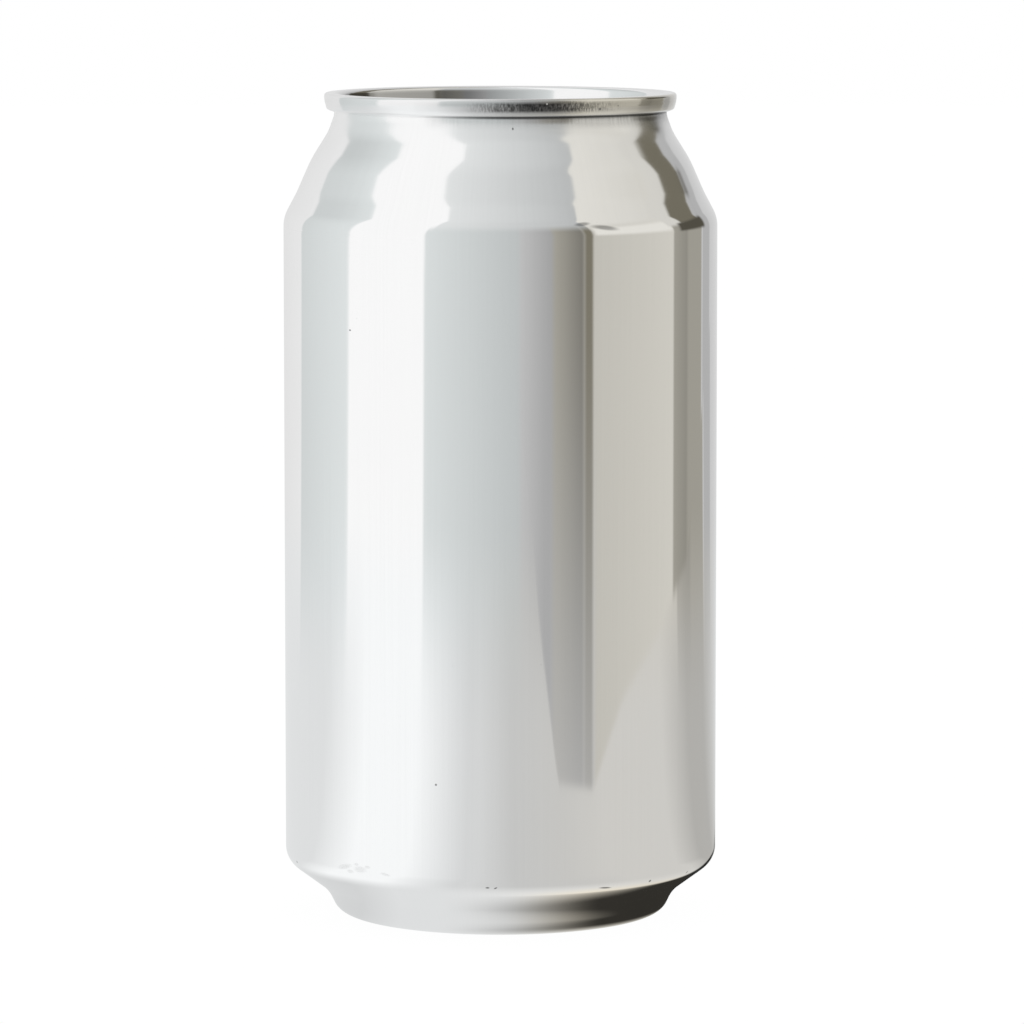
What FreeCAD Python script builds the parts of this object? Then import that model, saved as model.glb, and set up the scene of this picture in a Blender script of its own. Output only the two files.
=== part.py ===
import FreeCAD, Part
import math
import os

# Drinks can, shut and full: a drawn body, an end seamed on to it and a stay-on pull tab.
# Millimetres.  The can stands on its foot: +Z is up and the origin is the middle of the foot's plane.
# The mouth in the end points towards -Y, and the heel of the tab towards +Y.

# ------------------------------------------------------------------ driving sizes

# Whole can
body_diameter = 66.2
can_height = 125.8

# Foot and domed underside
stand_diameter = 46.66          # outer edge of the flat ring that the can stands on
stand_flat = 0.5                # width of that ring
foot_lean = 25.9                # degrees from upright, outside of the foot
foot_rounding = 2.64
foot_inner_rounding = 1.3
dome_depth = 10.2
dome_radius = 44.0
dome_rounding = 1.6

# Chime, the slope between the foot and the wall
hollow_height = 3.61
hollow_rounding = 6.3
wall_start = 8.32
wall_rounding = 3.48

# Neck: four cones between the shoulder and the seam
shoulder_drop = 18.96           # from the top of the can down to the shoulder
shoulder_rounding = 5.44
neck_bends = (                  # share of the neck's rise, share of its narrowing, rounding
    (0.235, 0.2625, 19.9),
    (0.540, 0.543, 20.7),
    (0.794, 0.879, 11.7),
)

# Double seam
seam_diameter = 53.66
seam_height = 2.6
seam_thickness = 1.91
seam_tuck = 0.35                # the seam's lower edge is drawn in by this much
seam_tuck_height = 1.5
seam_tuck_rounding = 4.0
seam_lower_rounding = 0.55
seam_outer_rounding = 0.45
seam_inner_rounding = 0.8
neck_wall = 0.14                # body metal between the chuck wall and the neck's outside

# End: chuck wall, countersink and centre panel
end_gauge = 0.25
chuck_lean = 12.0               # degrees from upright
countersink_depth = 6.86
countersink_width = 1.15
countersink_rounding = 0.5
panel_depth = 4.5
panel_wall_lean = 4.0           # degrees from upright
panel_rounding = 0.6

# Sunk field in the panel, round the mouth and the tab
field_sink = 0.4
field_mouth_radius = 11.6
field_mouth_margin = 1.8        # from the field's edge to the edge of the panel
field_heel_clearance = 1.1      # from the tab's heel to the edge of the field

# Score round the mouth
score_half_width = 10.4
score_half_length = 8.2
score_margin = 1.5              # from the score to the edge of the field
score_groove = 0.3
score_cut = 0.1

# Rivet, drawn up out of the panel
rivet_stem_radius = 1.6
rivet_head_radius = 2.5
rivet_head_height = 0.5
rivet_clearance = 0.05

# Pull tab
tab_nose_radius = 7.7
tab_nose_offset = 1.1           # centre of the nose end, ahead of the rivet
tab_heel_radius = 6.6
tab_heel_offset = 9.3           # centre of the heel end, behind the rivet
tab_height = 1.3
tab_rim_width = 1.7
tab_rim_rounding = 0.5
tab_web = 0.45
island_slot_radius = 3.9        # inner edge of the curved slot round the rivet
island_slot_width = 0.8
island_slot_sweep = 220.0       # degrees
finger_hole_radius = 3.7
finger_hole_front = 8.6         # behind the rivet
finger_hole_back = 9.9

# ------------------------------------------------------------------ levels and radii that follow

body_radius = body_diameter / 2
stand_radius = stand_diameter / 2
seam_radius = seam_diameter / 2
seam_bottom = can_height - seam_height
shoulder_height = can_height - shoulder_drop
chuck_top_radius = seam_radius - seam_thickness
neck_radius = chuck_top_radius + end_gauge + neck_wall
countersink_level = can_height - countersink_depth
panel_level = can_height - panel_depth
field_level = panel_level - field_sink

sink_outer_radius = chuck_top_radius - countersink_depth * math.tan(math.radians(chuck_lean))
sink_inner_radius = sink_outer_radius - countersink_width
panel_rise = countersink_depth - panel_depth
panel_radius = sink_inner_radius - panel_rise * math.tan(math.radians(panel_wall_lean))

# Centres of the field's two ends and of the score, ahead of the rivet (-Y) and behind it (+Y)
field_mouth_y = -(panel_radius - field_mouth_margin - field_mouth_radius)
field_heel_y = tab_heel_offset
field_heel_radius = tab_heel_radius + field_heel_clearance
score_y = field_mouth_y - field_mouth_radius + score_margin + score_half_length

AXIS = FreeCAD.Vector(0, 0, 1)
ORIGIN = FreeCAD.Vector(0, 0, 0)


# ------------------------------------------------------------------ profiles in the half plane (r, z)

def point(r, z):
    """A point of a profile, on the +X half of the XZ plane."""
    return FreeCAD.Vector(r, 0, z)


def heading(start, end):
    """Unit direction and length from one (r, z) to the next."""
    run = math.hypot(end[0] - start[0], end[1] - start[1])
    return (end[0] - start[0]) / run, (end[1] - start[1]) / run, run


def rounded_path(corners):
    """Edges of an open path through (r, z, rounding) corners, each rounded by a tangent arc.

    An arc starts rounding * tan(turn / 2) before its corner, and takes at most half of a run."""
    edges = []
    last = corners[0][:2]
    for before, corner, after in zip(corners, corners[1:], corners[2:]):
        in_r, in_z, in_run = heading(before, corner)
        out_r, out_z, out_run = heading(corner, after)
        turn = math.acos(max(-1.0, min(1.0, in_r * out_r + in_z * out_z)))
        reach = min(corner[2] * math.tan(turn / 2), 0.49 * in_run, 0.49 * out_run)
        if reach < 1e-6:
            edges.append(Part.LineSegment(point(*last), point(*corner[:2])).toShape())
            last = corner[:2]
            continue
        rounding = reach / math.tan(turn / 2)
        start = (corner[0] - in_r * reach, corner[1] - in_z * reach)
        end = (corner[0] + out_r * reach, corner[1] + out_z * reach)
        sag = rounding / math.cos(turn / 2) - rounding
        inward_r, inward_z = out_r - in_r, out_z - in_z
        inward = math.hypot(inward_r, inward_z)
        middle = (corner[0] + sag * inward_r / inward, corner[1] + sag * inward_z / inward)
        edges.append(Part.LineSegment(point(*last), point(*start)).toShape())
        edges.append(Part.Arc(point(*start), point(*middle), point(*end)).toShape())
        last = end
    edges.append(Part.LineSegment(point(*last), point(*corners[-1][:2])).toShape())
    return edges


def offset_path(corners, gauge):
    """The same path moved to its left by gauge, with its roundings grown or shrunk to suit."""
    lines = []
    for start, end in zip(corners, corners[1:]):
        along_r, along_z, _ = heading(start, end)
        lines.append((start[0] - along_z * gauge, start[1] + along_r * gauge, along_r, along_z))
    moved = [(lines[0][0], lines[0][1], 0)]
    for corner, first, second in zip(corners[1:-1], lines, lines[1:]):
        cross = first[2] * second[3] - first[3] * second[2]
        gap_r, gap_z = second[0] - first[0], second[1] - first[1]
        travel = (gap_r * second[3] - gap_z * second[2]) / cross
        rounding = corner[2] - gauge if cross > 0 else corner[2] + gauge
        moved.append((first[0] + first[2] * travel, first[1] + first[3] * travel, rounding))
    last_r, last_z, along_r, along_z = lines[-1]
    travel = heading(corners[-2], corners[-1])[2]
    moved.append((last_r + along_r * travel, last_z + along_z * travel, 0))
    return moved


def turned(edges):
    """The solid swept by a closed profile that is turned once round the can's axis."""
    return Part.Face(Part.Wire(edges)).revolve(ORIGIN, AXIS, 360)


# ------------------------------------------------------------------ flat outlines in the end

def stadium(front_radius, front_y, back_radius, back_y):
    """Outline round two circles on the Y axis, joined by their two outer tangent lines."""
    lean = math.asin((front_radius - back_radius) / (back_y - front_y))
    side, rise = math.cos(lean), math.sin(lean)
    corners = [
        FreeCAD.Vector(front_radius * side, front_y + front_radius * rise, 0),
        FreeCAD.Vector(back_radius * side, back_y + back_radius * rise, 0),
        FreeCAD.Vector(-back_radius * side, back_y + back_radius * rise, 0),
        FreeCAD.Vector(-front_radius * side, front_y + front_radius * rise, 0),
    ]
    back_tip = FreeCAD.Vector(0, back_y + back_radius, 0)
    front_tip = FreeCAD.Vector(0, front_y - front_radius, 0)
    return Part.Wire([
        Part.LineSegment(corners[0], corners[1]).toShape(),
        Part.Arc(corners[1], back_tip, corners[2]).toShape(),
        Part.LineSegment(corners[2], corners[3]).toShape(),
        Part.Arc(corners[3], front_tip, corners[0]).toShape(),
    ])


def slab(outline, bottom, height):
    """A flat-sided solid that stands on an outline, from the level bottom."""
    solid = Part.Face(outline).extrude(FreeCAD.Vector(0, 0, height))
    solid.translate(FreeCAD.Vector(0, 0, bottom))
    return solid


def sunk_field(grow, bottom, height):
    """A slab over the field round the mouth and tab, its outline grown by the given width."""
    outline = stadium(field_mouth_radius + grow, field_mouth_y,
                      field_heel_radius + grow, field_heel_y)
    return slab(outline, bottom, height)


# ------------------------------------------------------------------ the end's section

def end_top_corners():
    """Upper side of the end's sheet, from the top of the chuck wall to the middle of the panel."""
    return [
        (chuck_top_radius, can_height, 0),
        (sink_outer_radius, countersink_level, countersink_rounding),
        (sink_inner_radius, countersink_level, countersink_rounding),
        (panel_radius, panel_level, panel_rounding),
        (0, panel_level, 0),
    ]


def end_under_corners():
    """Lower side of the sheet, from the seam's bottom edge to the middle of the panel."""
    under = offset_path(end_top_corners(), end_gauge)
    top, foot = under[0], under[1]
    share = (top[1] - seam_bottom) / (top[1] - foot[1])
    under[0] = (top[0] + (foot[0] - top[0]) * share, seam_bottom, 0)
    return under


# ------------------------------------------------------------------ pieces

def dome_edges():
    """Underside from the middle of the dome, down the inside of the foot, to the stand ring."""
    inner_radius = stand_radius - stand_flat
    leg_radius = inner_radius - foot_inner_rounding
    ball_z = dome_depth - dome_radius
    corner_r = leg_radius - dome_rounding
    corner_z = ball_z + math.sqrt((dome_radius - dome_rounding) ** 2 - corner_r ** 2)
    edge_angle = math.asin(corner_r / (dome_radius - dome_rounding))

    def on_dome(angle):
        return point(dome_radius * math.sin(angle), ball_z + dome_radius * math.cos(angle))

    def on_corner(angle):
        return point(corner_r + dome_rounding * math.sin(angle), corner_z + dome_rounding * math.cos(angle))

    diagonal = foot_inner_rounding * math.sqrt(0.5)
    leg_foot = point(leg_radius, foot_inner_rounding)
    nose_middle = point(inner_radius - diagonal, foot_inner_rounding - diagonal)
    return [
        Part.Arc(on_dome(0), on_dome(edge_angle / 2), on_dome(edge_angle)).toShape(),
        Part.Arc(on_dome(edge_angle), on_corner((edge_angle + math.pi / 2) / 2),
                 on_corner(math.pi / 2)).toShape(),
        Part.LineSegment(on_corner(math.pi / 2), leg_foot).toShape(),
        Part.Arc(leg_foot, nose_middle, point(inner_radius, 0)).toShape(),
    ]


def outside_corners():
    """Outside of the body from the stand ring, over chime, wall, shoulder and neck, to the seam."""
    lean = math.radians(foot_lean)
    foot_corner = stand_radius + foot_rounding * math.tan((math.pi / 2 - lean) / 2)
    hollow_radius = foot_corner + hollow_height * math.tan(lean)
    narrowing = body_radius - neck_radius
    rise = seam_bottom - shoulder_height
    corners = [
        (stand_radius - stand_flat, 0, 0),
        (foot_corner, 0, foot_rounding),
        (hollow_radius, hollow_height, hollow_rounding),
        (body_radius, wall_start, wall_rounding),
        (body_radius, shoulder_height, shoulder_rounding),
    ]
    for rise_share, narrowing_share, rounding in neck_bends:
        corners.append((body_radius - narrowing * narrowing_share,
                        shoulder_height + rise * rise_share, rounding))
    corners.append((neck_radius, seam_bottom, 0))
    return corners


def make_body():
    """The drawn body and what fills it: one solid up to the underside of the end."""
    under = end_under_corners()
    edges = dome_edges() + rounded_path(outside_corners())
    edges.append(Part.LineSegment(point(neck_radius, seam_bottom), point(under[0][0], seam_bottom)).toShape())
    edges += rounded_path(under)
    edges.append(Part.LineSegment(point(0, under[-1][1]), point(0, dome_depth)).toShape())
    room_for_field = sunk_field(end_gauge, field_level - end_gauge, field_sink)
    return turned(edges).cut(room_for_field)


def make_rivet():
    """The button drawn up out of the field: a stem through the tab's web and a flattened head."""
    head_under = field_level + tab_web + rivet_clearance
    head_top = head_under + rivet_head_height
    below = field_level - end_gauge / 2
    corners = [
        (0, head_top, 0),
        (rivet_head_radius, head_top, rivet_head_height / 2),
        (rivet_head_radius, head_under, 0),
        (rivet_stem_radius, head_under, 0),
        (rivet_stem_radius, below, 0),
        (0, below, 0),
    ]
    axis_edge = Part.LineSegment(point(0, below), point(0, head_top)).toShape()
    return turned(rounded_path(corners) + [axis_edge])


def score_oval(grow):
    """Oval of the mouth's score, grown by the given width."""
    middle = FreeCAD.Vector(0, score_y, 0)
    oval = Part.Ellipse(middle, score_half_width + grow, score_half_length + grow)
    return Part.Wire([oval.toShape()])


def make_end():
    """The end: double seam, chuck wall, countersink, panel with its sunk field, score and rivet."""
    top = end_top_corners()
    under = end_under_corners()
    seam = [
        (under[0][0], seam_bottom, 0),
        (seam_radius - seam_tuck, seam_bottom, seam_lower_rounding),
        (seam_radius, seam_bottom + seam_tuck_height, seam_tuck_rounding),
        (seam_radius, can_height, seam_outer_rounding),
        (chuck_top_radius, can_height, seam_inner_rounding),
    ]
    edges = rounded_path(seam + top[1:])
    edges.append(Part.LineSegment(point(0, top[-1][1]), point(0, under[-1][1])).toShape())
    edges += rounded_path(under[::-1])
    sheet = turned(edges)
    pan = sunk_field(end_gauge, field_level - end_gauge, field_sink)
    pressing = sunk_field(0, field_level, field_sink)
    groove = slab(score_oval(score_groove / 2), field_level - score_cut, score_cut)
    groove = groove.cut(slab(score_oval(-score_groove / 2), field_level - score_cut, score_cut))
    sunk = sheet.fuse(pan).cut(pressing).cut(groove)
    return sunk.fuse(make_rivet()).removeSplitter()


def tab_outline(inset):
    """Outline of the tab, drawn in by the given width."""
    return stadium(tab_nose_radius - inset, -tab_nose_offset, tab_heel_radius - inset, tab_heel_offset)


def island_slot(bottom, height):
    """Curved slot round the front and sides of the rivet, which lets the tab hinge on its island."""
    outer = Part.makeCylinder(island_slot_radius + island_slot_width, height,
                              FreeCAD.Vector(0, 0, bottom), AXIS, island_slot_sweep)
    inner = Part.makeCylinder(island_slot_radius, height, FreeCAD.Vector(0, 0, bottom), AXIS, 360)
    slot = outer.cut(inner)
    slot.rotate(ORIGIN, AXIS, 270 - island_slot_sweep / 2)
    return slot


def make_tab():
    """The stay-on tab: a curled rim round a thin web, which the rivet and the finger hole pierce."""
    ring = slab(tab_outline(0), field_level, tab_height)
    low_and_high = [edge for edge in ring.Edges
                    if abs(edge.BoundBox.ZMax - edge.BoundBox.ZMin) < 1e-6]
    ring = ring.makeFillet(tab_rim_rounding, low_and_high)
    well = slab(tab_outline(tab_rim_width), field_level + tab_web, tab_height)
    rivet_hole = Part.makeCylinder(rivet_stem_radius + rivet_clearance, tab_height,
                                   FreeCAD.Vector(0, 0, field_level))
    finger_hole = slab(stadium(finger_hole_radius, finger_hole_front, finger_hole_radius, finger_hole_back),
                       field_level, tab_height)
    return ring.cut(well).cut(rivet_hole).cut(finger_hole).cut(island_slot(field_level, tab_height))


# ------------------------------------------------------------------ write the pieces

pieces = {
    "can_body": make_body(),
    "can_end": make_end(),
    "pull_tab": make_tab(),
}

os.makedirs("parts", exist_ok=True)
for name, shape in pieces.items():
    box = shape.BoundBox
    shape.exportStep("parts/" + name + ".step")
    print(name, "solids", len(shape.Solids), "valid", shape.isValid(), "volume", round(shape.Volume, 1),
          "z", round(box.ZMin, 3), round(box.ZMax, 3), "x", round(box.XMin, 3), round(box.XMax, 3))
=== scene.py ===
# %% [markdown]
# # A shut drinks can in bare metal
#
# This lesson dresses a can whose construction is already fixed by its CAD frame. The can has
# three parts: the drawn body, the end that is seamed on to it, and the pull tab.
# Everything is in metres, with +Z up and the origin in the middle of the ring the can stands on.
# The front of the can faces -Y.

# %% Open the frame
import math

import bpy
import numpy as np
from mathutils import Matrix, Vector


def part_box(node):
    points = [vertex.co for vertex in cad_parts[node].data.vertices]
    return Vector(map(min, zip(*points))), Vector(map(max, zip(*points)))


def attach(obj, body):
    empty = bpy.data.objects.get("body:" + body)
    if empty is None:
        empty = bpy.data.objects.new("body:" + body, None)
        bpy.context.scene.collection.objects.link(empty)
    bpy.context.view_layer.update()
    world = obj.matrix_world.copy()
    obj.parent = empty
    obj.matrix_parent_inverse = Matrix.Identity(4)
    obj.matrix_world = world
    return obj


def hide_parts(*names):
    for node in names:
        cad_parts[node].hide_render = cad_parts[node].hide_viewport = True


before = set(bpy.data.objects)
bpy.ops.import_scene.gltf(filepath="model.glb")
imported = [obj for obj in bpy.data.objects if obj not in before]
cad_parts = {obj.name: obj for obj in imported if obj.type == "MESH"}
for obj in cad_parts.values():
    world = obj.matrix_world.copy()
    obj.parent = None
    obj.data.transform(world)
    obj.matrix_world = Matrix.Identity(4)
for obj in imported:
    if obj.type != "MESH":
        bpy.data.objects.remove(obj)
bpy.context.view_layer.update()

# %% [markdown]
# Sizes come first. The frame says how wide the wall and the seam are and how high each part
# reaches, so those are read from it. The small forms that a box can't tell, such as the lean of
# the foot, repeat the construction's own figures, in millimetres.

# %% Sizes of the can
mm = 0.001
body_low, body_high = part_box("can_body")
end_low, end_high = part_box("can_end")
tab_low, tab_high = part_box("pull_tab")

wall_radius = (body_high.y - body_low.y) / 2
seam_radius = (end_high.y - end_low.y) / 2
seam_bottom = body_high.z
can_top = end_high.z
field_level = tab_low.z
print("wall radius", round(wall_radius / mm, 2), "seam radius", round(seam_radius / mm, 2),
      "seam from", round(seam_bottom / mm, 2), "to", round(can_top / mm, 2))

# %% [markdown]
# A can is turned metal: nearly every surface on it is one line carried round an axis. So the
# first helper draws such a line. It is given as corners with a rounding each, the way a die maker
# dimensions a profile, and every corner becomes a true arc. Modelling the same bends with a bevel
# modifier would also work, but then each rounding could not have its own radius so simply.

# %% Rounded lines
def rounded_line(corners, arc_points=20):
    """Line through (radius, height, rounding) corners, each corner swapped for a tangent arc.

    The arc starts rounding * tan(half the turn) before the corner, and its points are the arc's
    centre plus rounding times the cosine and sine of an angle that steps through the turn."""
    corners = np.array(corners, float)
    spots = corners[:, :2]
    runs = np.diff(spots, axis=0)
    lengths = np.linalg.norm(runs, axis=1)
    along = runs / lengths[:, None]
    before = along[:-1]
    after = along[1:]
    turn = np.arccos(np.clip((before * after).sum(1), -1, 1))
    reach = corners[1:-1, 2] * np.tan(turn / 2)
    reach = np.minimum(reach, 0.49 * np.minimum(lengths[:-1], lengths[1:]))
    rounding = (reach / np.tan(turn / 2))[:, None, None]
    side = np.sign(before[:, 0] * after[:, 1] - before[:, 1] * after[:, 0])
    inward = (side[:, None] * np.stack([-before[:, 1], before[:, 0]], axis=1))[:, None]
    start = (spots[1:-1] - before * reach[:, None])[:, None]
    angle = (turn[:, None] * np.linspace(0, 1, arc_points))[..., None]
    arcs = start + inward * rounding * (1 - np.cos(angle)) + before[:, None] * rounding * np.sin(angle)
    return np.concatenate([spots[:1], arcs.reshape(-1, 2), spots[-1:]])


def spaced(line, longest):
    """The same line without doubled points, and with extra ones so that no step is too long."""
    travelled = np.append(0, np.cumsum(np.linalg.norm(np.diff(line, axis=0), axis=1)))
    stops = np.union1d(travelled, np.arange(0, travelled[-1], longest))
    stops = stops[np.append(True, np.diff(stops) > 0.02 * mm)]
    return np.stack([np.interp(stops, travelled, line[:, 0]),
                     np.interp(stops, travelled, line[:, 1])], axis=1)


# %% [markdown]
# The second helper turns a line into a surface. The surface is a grid: rows follow the line and
# columns follow the angle round the can. Whole arrays hold it, so no loop visits the points one
# by one. Where the line meets the axis, the row shrinks to a single point and the quads there
# become a fan of triangles, which leaves no hole at the pole.

# %% Turned grids and meshes
def turned(line, around):
    """Grid of points from a (radius, height) line: x = radius sin(angle), y = -radius cos(angle),
    z = height. Angle 0 faces the front, and angles grow towards +X."""
    angle = np.linspace(0, 2 * np.pi, around, endpoint=False)
    radius = line[:, 0][:, None]
    height = np.broadcast_to(line[:, 1][:, None], (len(line), around))
    return np.stack([radius * np.sin(angle), -radius * np.cos(angle), height], axis=-1)


def ring_faces(rows, columns):
    """Corner numbers of the quads of a grid whose last column meets its first."""
    row = np.arange(rows - 1)[:, None] * columns
    column = np.arange(columns)[None]
    following = (column + 1) % columns
    corners = [row + column, row + following, row + columns + following, row + columns + column]
    return np.stack(corners, axis=-1).reshape(-1, 4)


def surface(grid, first_pole=False, last_pole=False):
    """Points and faces of a grid that closes on itself along its columns. A pole is a row whose
    points are all one point: it is kept once and joined to the next row by triangles."""
    rows, columns = grid.shape[:2]
    inner = grid[int(first_pole):rows - int(last_pole)]
    points = inner.reshape(-1, 3)
    faces = ring_faces(len(inner), columns).tolist()
    column = np.arange(columns)
    following = (column + 1) % columns
    last_row = (len(inner) - 1) * columns
    if first_pole:
        fan = np.stack([np.full(columns, len(points)), following, column], axis=1)
        points = np.concatenate([points, grid[:1, 0]])
        faces = faces + fan.tolist()
    if last_pole:
        fan = np.stack([last_row + column, last_row + following, np.full(columns, len(points))], axis=1)
        points = np.concatenate([points, grid[-1:, 0]])
        faces = faces + fan.tolist()
    return points, faces


def make_piece(name, surfaces, stands_for):
    """One smooth object made from several surfaces, which rides on the can."""
    counts = np.cumsum([0] + [len(points) for points, _ in surfaces])
    points = np.concatenate([points for points, _ in surfaces])
    faces = [[int(corner + first) for corner in face]
             for first, (_, some) in zip(counts, surfaces) for face in some]
    mesh = bpy.data.meshes.new(name)
    mesh.from_pydata(points.tolist(), [], faces)
    mesh.polygons.foreach_set("use_smooth", np.ones(len(faces), bool))
    mesh.validate()
    mesh.update()
    piece = bpy.data.objects.new(name, mesh)
    bpy.context.scene.collection.objects.link(piece)
    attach(piece, "root")
    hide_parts(stands_for)
    mesh.calc_loop_triangles()
    print(name, "has", len(mesh.loop_triangles), "triangles")
    return piece


# %% [markdown]
# The body is drawn from one disc of aluminium and ironed until its wall is thin. From below it
# has a dome that stands on a narrow nose, a foot that leans out, a chime that opens to the full
# width, a straight wall, a soft shoulder, and a neck that the necking dies draw in step by step.
# Those steps leave the neck with four slightly different cones and a short upright stretch under
# the seam. They are what makes reflections wander there, so the line has all of them.

# %% The body's line
stand_radius = 23.33 * mm
stand_flat = 0.5 * mm
foot_lean = math.radians(25.9)
foot_rounding = 2.64 * mm
nose_rounding = 1.3 * mm
dome_depth = 10.2 * mm
dome_radius = 44.0 * mm
dome_rounding = 1.6 * mm
hollow_height = 3.61 * mm
wall_start = 8.32 * mm
shoulder_level = 106.84 * mm
neck_radius = 25.31 * mm
neck_wall = 0.14 * mm
hollow_rounding = 6.3 * mm
wall_rounding = 3.48 * mm
shoulder_rounding = 5.44 * mm
under_end = end_low.z - 0.3 * mm

foot_corner = stand_radius + foot_rounding * math.tan((math.pi / 2 - foot_lean) / 2)
hollow_radius = foot_corner + hollow_height * math.tan(foot_lean)
leg_radius = stand_radius - stand_flat - nose_rounding

outside = [
    (leg_radius, dome_depth / 2, 0),
    (leg_radius, 0, nose_rounding),
    (foot_corner, 0, foot_rounding),
    (hollow_radius, hollow_height, hollow_rounding),
    (wall_radius, wall_start, wall_rounding),
    (wall_radius, shoulder_level, shoulder_rounding),
]
# each bend: its share of the neck's rise, its share of the neck's narrowing, its rounding in mm
neck_bends = ((0.235, 0.2625, 19.9), (0.540, 0.543, 20.7), (0.794, 0.879, 9.0), (0.945, 0.995, 3.0))
for rise_share, narrowing_share, rounding in neck_bends:
    outside.append((wall_radius - (wall_radius - neck_radius) * narrowing_share,
                    shoulder_level + (seam_bottom - shoulder_level) * rise_share, rounding * mm))
outside += [
    (neck_radius, seam_bottom, 0.2 * mm),
    (neck_radius - neck_wall, seam_bottom, 0.05 * mm),
    (neck_radius - 1.0 * mm, under_end, 0.3 * mm),
    (0, under_end, 0),
]


# %% [markdown]
# The dome is a cap of a ball. Its edge turns down into the leg of the foot through a small
# rounding, whose centre lies where a smaller ball and a narrower cylinder meet.

# %% The dome's line
def dome_line(points):
    """Cap of a ball from the middle outwards, then the rounding down into the leg: first
    ball radius * (sin, cos) of an angle from the axis, then the same with the small radius."""
    ball_height = dome_depth - dome_radius
    corner_radius = leg_radius - dome_rounding
    corner_height = ball_height + math.sqrt((dome_radius - dome_rounding) ** 2 - corner_radius ** 2)
    edge = math.asin(corner_radius / (dome_radius - dome_rounding))
    on_ball = np.linspace(0, edge, points)
    on_edge = np.linspace(edge, math.pi / 2, points // 2)[1:]
    ball = np.stack([dome_radius * np.sin(on_ball), ball_height + dome_radius * np.cos(on_ball)], axis=1)
    bend = np.stack([corner_radius + dome_rounding * np.sin(on_edge),
                     corner_height + dome_rounding * np.cos(on_edge)], axis=1)
    return np.concatenate([ball, bend])


body_line = spaced(np.concatenate([dome_line(28), rounded_line(outside)]), 3 * mm)
print("the body's line has", len(body_line), "points")
body = make_piece("body_shell", [surface(turned(body_line, 316), True, True)], "can_body")

# %% [markdown]
# The end is a stiffer sheet. Its rim is curled round the body's flange and rolled flat, which
# makes the double seam at the top of the can. Inside the seam the chuck wall drops into a narrow
# countersink, which stiffens the end against the gas inside, and rises again to the panel.

# %% The end's rim
chuck_top_radius = seam_radius - 1.91 * mm
sink_level = end_low.z + 0.25 * mm
sink_outer = chuck_top_radius - (can_top - sink_level) * math.tan(math.radians(12))
sink_inner = sink_outer - 1.15 * mm
panel_level = can_top - 4.5 * mm
panel_radius = sink_inner - (panel_level - sink_level) * math.tan(math.radians(4))
panel_flat = panel_radius - 0.6 * mm

rim = [
    (neck_radius - 0.1 * mm, seam_bottom - 0.30 * mm, 0),
    (seam_radius - 0.38 * mm, seam_bottom + 0.12 * mm, 0.5 * mm),
    (seam_radius, seam_bottom + 1.5 * mm, 4.0 * mm),
    (seam_radius, can_top, 0.45 * mm),
    (chuck_top_radius, can_top, 0.8 * mm),
    (sink_outer, sink_level, 0.5 * mm),
    (sink_inner, sink_level, 0.5 * mm),
    (panel_radius, panel_level, 0.6 * mm),
    (panel_flat, panel_level, 0),
]
rim_line = spaced(rounded_line(rim, 16), 0.6 * mm)
print("panel radius", round(panel_radius / mm, 2), "and the rim's line has", len(rim_line), "points")

# %% [markdown]
# The panel has a sunk field round the mouth and the tab. Its outline is two circles joined by
# tangents. Every ray from the rivet crosses that outline once, so the panel can be a polar grid
# whose rows are moved until they lie along the outline: that keeps its small wall clean, where a
# grid of plain circles would leave a ragged one.

# %% Rays to an outline
def ray_to_circle(angle, centre_y, radius):
    """Distance from the origin to a circle's far side along each ray: with c the centre's
    distance along the ray, it is c + sqrt(radius^2 - the centre's distance across it^2)."""
    along = -np.cos(angle) * centre_y
    across = np.sin(angle) * centre_y
    return along + np.sqrt(np.maximum(radius ** 2 - across ** 2, 0))


def ray_to_outline(angle, front_radius, front_y, back_radius, back_y):
    """Distance from the origin to a rounded outline round two circles on the Y axis. A ray meets
    the straight side at the side's own distance from the origin divided by the cosine between
    the ray and the side's normal. Past an end of the straight side it meets that end's circle."""
    lean = math.asin((front_radius - back_radius) / (back_y - front_y))
    normal_x = math.cos(lean)
    normal_y = math.sin(lean)
    offset = front_radius + front_y * normal_y
    step_x = np.abs(np.sin(angle))
    step_y = -np.cos(angle)
    to_side = offset / np.maximum(step_x * normal_x + step_y * normal_y, 1e-6)
    hit_y = to_side * step_y
    front_end = front_y + front_radius * normal_y
    back_end = back_y + back_radius * normal_y
    to_front = ray_to_circle(angle, front_y, front_radius)
    to_back = ray_to_circle(angle, back_y, back_radius)
    return np.where(hit_y < front_end, to_front, np.where(hit_y > back_end, to_back, to_side))


# %% [markdown]
# With the rays known, the panel's grid runs inwards from its edge to the field's outline, steps
# down the field's little wall, and goes on to the middle. The wall is an S curve in height.

# %% The panel
field_margin = 1.8 * mm
field_mouth_radius = 11.6 * mm
field_mouth_y = -(panel_radius - field_margin - field_mouth_radius)
field_outline = dict(front_radius=field_mouth_radius, front_y=field_mouth_y,
                     back_radius=7.7 * mm, back_y=9.3 * mm)
field_wall = 0.5 * mm


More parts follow.
